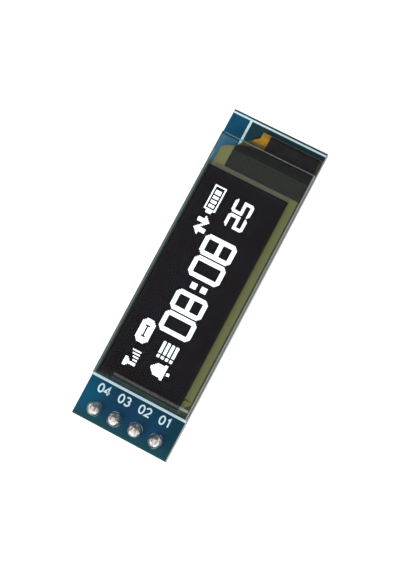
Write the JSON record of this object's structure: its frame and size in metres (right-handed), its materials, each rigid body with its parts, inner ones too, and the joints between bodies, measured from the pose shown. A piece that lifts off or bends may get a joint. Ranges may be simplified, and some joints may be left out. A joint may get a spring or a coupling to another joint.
{
  "type": "small oled display module",
  "caption": "Slim glass display panel taped to a narrow circuit board, with its flex tail folded under at the far end and a straight pin header for plugging in.",
  "frame": {"origin": "middle of the pin row, on the face of the header strip that seats on the board or socket below", "axes": "+X along the module from the header to the flex tail, +Y towards the last pin (pin 4), +Z out of the display face"},
  "size_m": [0.0385, 0.0116, 0.0115],
  "materials": {
    "board": "glossy blue solder mask over glass-fibre laminate",
    "plating": "tinned copper",
    "header_plastic": "moulded, matt black",
    "pin_metal": "gold flash over brass, cut tips",
    "solder": "smooth solder, bright",
    "front_glass": "polished sheet glass with scribed edges",
    "cap_glass": "polished sheet glass with an etched hollow",
    "polariser": "near-black film, satin gloss",
    "seal": "cured clear adhesive",
    "desiccant": "white absorbent sheet",
    "display_film": "black behind the lit pixels",
    "metal_film": "thin metal tracks on glass, olive",
    "end_film": "thin metal tracks on glass, beige",
    "silicon": "polished silicon",
    "coating": "black protective coating",
    "tape": "white double-sided foam tape",
    "flex": "amber polyimide over copper",
    "flex_cover": "black cover film",
    "gold_contacts": "gold-plated copper",
    "capacitor_ceramic": "tan fired ceramic",
    "resistor_coat": "black glaze",
    "tin": "matt tin plating",
    "moulding": "black moulding compound"
  },
  "bodies": {
    "root": {"circuit_board": "board", "plated_hole_1": "plating", "plated_hole_2": "plating", "plated_hole_3": "plating", "plated_hole_4": "plating", "header_strip": "header_plastic", "header_pin_1": "pin_metal", "header_pin_2": "pin_metal", "header_pin_3": "pin_metal", "header_pin_4": "pin_metal", "solder_joint_1": "solder", "solder_joint_2": "solder", "solder_joint_3": "solder", "solder_joint_4": "solder", "front_glass": "front_glass", "polariser": "polariser", "cap_glass": "cap_glass", "seal_frame": "seal", "desiccant_sheet": "desiccant", "emissive_film": "display_film", "side_tracks": "metal_film", "end_tracks": "end_film", "corner_tracks": "metal_film", "driver_chip": "silicon", "chip_coating": "coating", "panel_tape": "tape", "flex_tail": "flex", "flex_cover": "flex_cover", "flex_contacts": "gold_contacts", "flex_solder": "solder", "capacitor_1": "capacitor_ceramic", "capacitor_2": "capacitor_ceramic", "capacitor_3": "capacitor_ceramic", "capacitor_4": "capacitor_ceramic", "capacitor_5": "capacitor_ceramic", "capacitor_ends_1": "tin", "capacitor_ends_2": "tin", "capacitor_ends_3": "tin", "capacitor_ends_4": "tin", "capacitor_ends_5": "tin", "resistor_1": "resistor_coat", "resistor_2": "resistor_coat", "resistor_3": "resistor_coat", "resistor_4": "resistor_coat", "resistor_ends_1": "tin", "resistor_ends_2": "tin", "resistor_ends_3": "tin", "resistor_ends_4": "tin", "regulator_body": "moulding", "regulator_leads": "tin", "parts_solder": "solder"}
  },
  "joints": []
}
